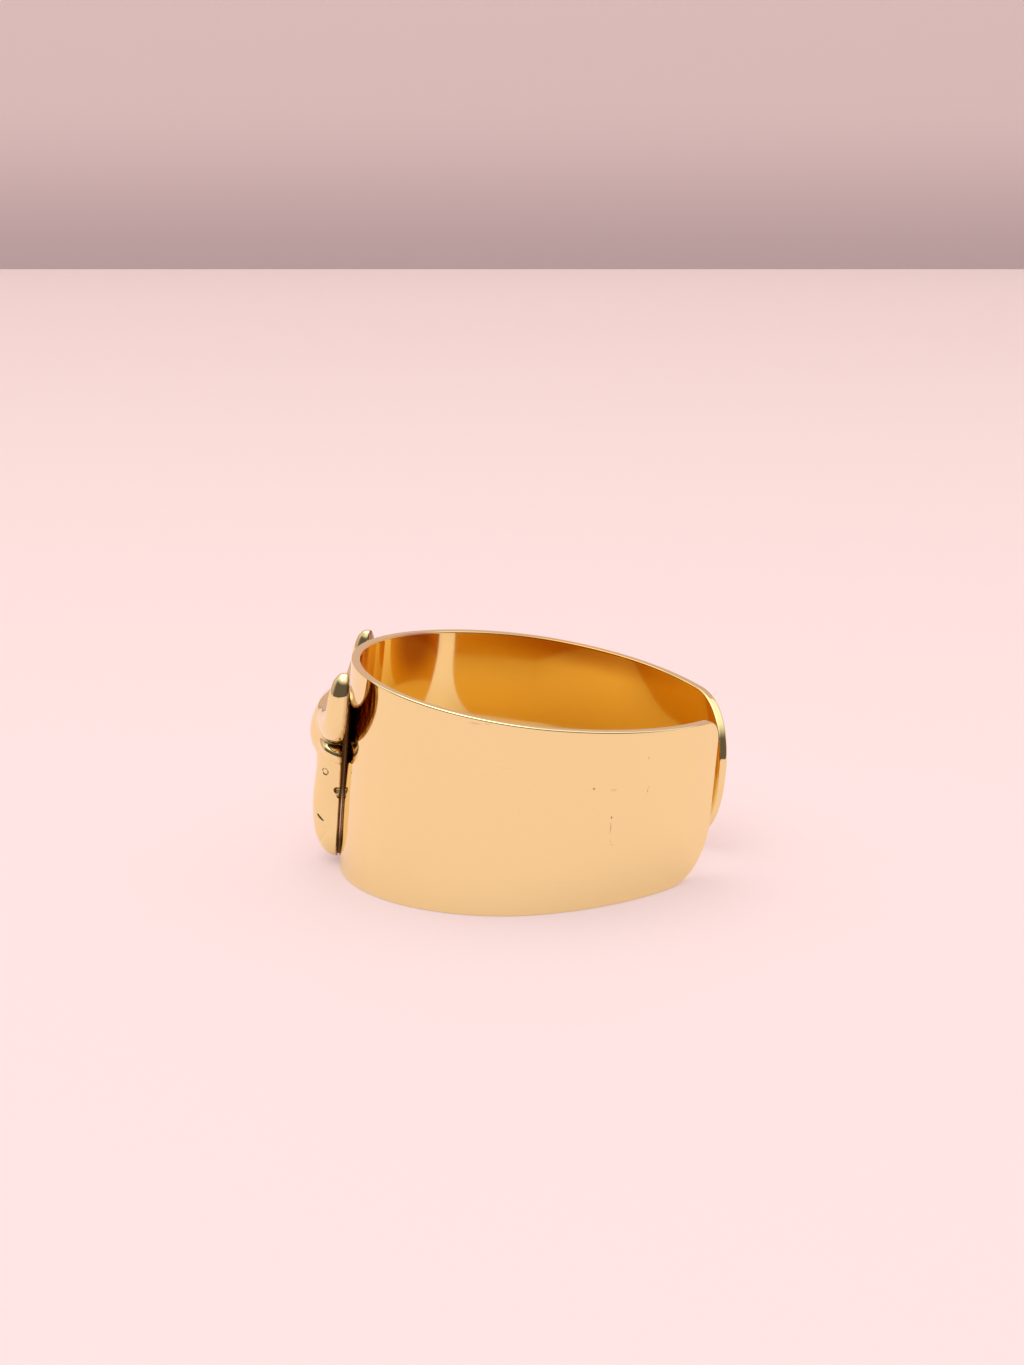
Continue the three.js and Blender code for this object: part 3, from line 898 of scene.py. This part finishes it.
# The floor runs from in front of the ring to the wall's foot, square to the way the camera looks.
cameraPlace = (Vector(view["place"]) + Vector((shift[0], shift[1], 0))) * millimetre
away = Vector((view["looking"][0], view["looking"][1], 0)).normalized()
up = Vector((0, 0, 1))
foot = Vector((cameraPlace.x, cameraPlace.y, 0)) + away * studio["wallAway"]
halfEdge = Vector((-away.y, away.x, 0)) * studio["floorReach"]
floorPaint = rampMaterial("floorPaint", away, studio["floorFrom"], away.dot(foot),
                          studio["floorColour"], studio["floorFarShade"], studio["floorGlow"])
wallPaint = rampMaterial("wallPaint", up, 0, studio["wallFoot"],
                         studio["wallFootShade"], studio["wallColour"], studio["wallGlow"])
stagePlane("floor", foot, halfEdge, -away * studio["floorReach"], floorPaint)
stagePlane("backWall", foot, halfEdge, up * studio["wallHeight"], wallPaint)

# The sky is dark low down on one side, pale on the other and palest overhead.
world = bpy.data.worlds.new("studioWorld")
world.use_nodes = True
bpy.context.scene.world = world
skyTree = world.node_tree
direction = partsOf(skyTree, coordinate(skyTree, "Generated"))
side = ranged(skyTree, direction["X"], *studio["sideSpan"], kind="SMOOTHSTEP")
climb = ranged(skyTree, direction["Z"], *studio["climbSpan"], kind="SMOOTHSTEP")
lowSky = mixed(skyTree, side, studio["skySide"], studio["skyLow"])
sky = mixed(skyTree, climb, lowSky, studio["skyHigh"])
background = skyTree.nodes["Background"]
skyTree.links.new(sky, background.inputs["Color"])
background.inputs["Strength"].default_value = studio["skyStrength"]

keyData = bpy.data.lights.new("softKey", "AREA")
keyData.shape = "SQUARE"
keyData.size = studio["keySize"]
keyData.energy = studio["keyPower"]
keyData.color = studio["keyColour"]
key = bpy.data.objects.new("softKey", keyData)
key.location = studio["keyPlace"]
key.rotation_euler = (-key.location).to_track_quat("-Z", "Y").to_euler()
bpy.context.scene.collection.objects.link(key)

cameraData = bpy.data.cameras.new("camera")
cameraData.lens = view["lens"]
cameraData.sensor_width = view["sensor"]
cameraData.clip_start, cameraData.clip_end = view["clip"]
camera = bpy.data.objects.new("camera", cameraData)
camera.location = cameraPlace
camera.rotation_euler = Vector(view["looking"]).to_track_quat("-Z", "Y").to_euler()
bpy.context.scene.collection.objects.link(camera)
bpy.context.scene.camera = camera
bpy.context.scene.view_settings.view_transform = "Standard"
bpy.context.scene.cycles.glossy_bounces = studio["glossyBounces"]
print("stage: floor, back wall, sky, key light and camera")

bpy.context.view_layer.update()
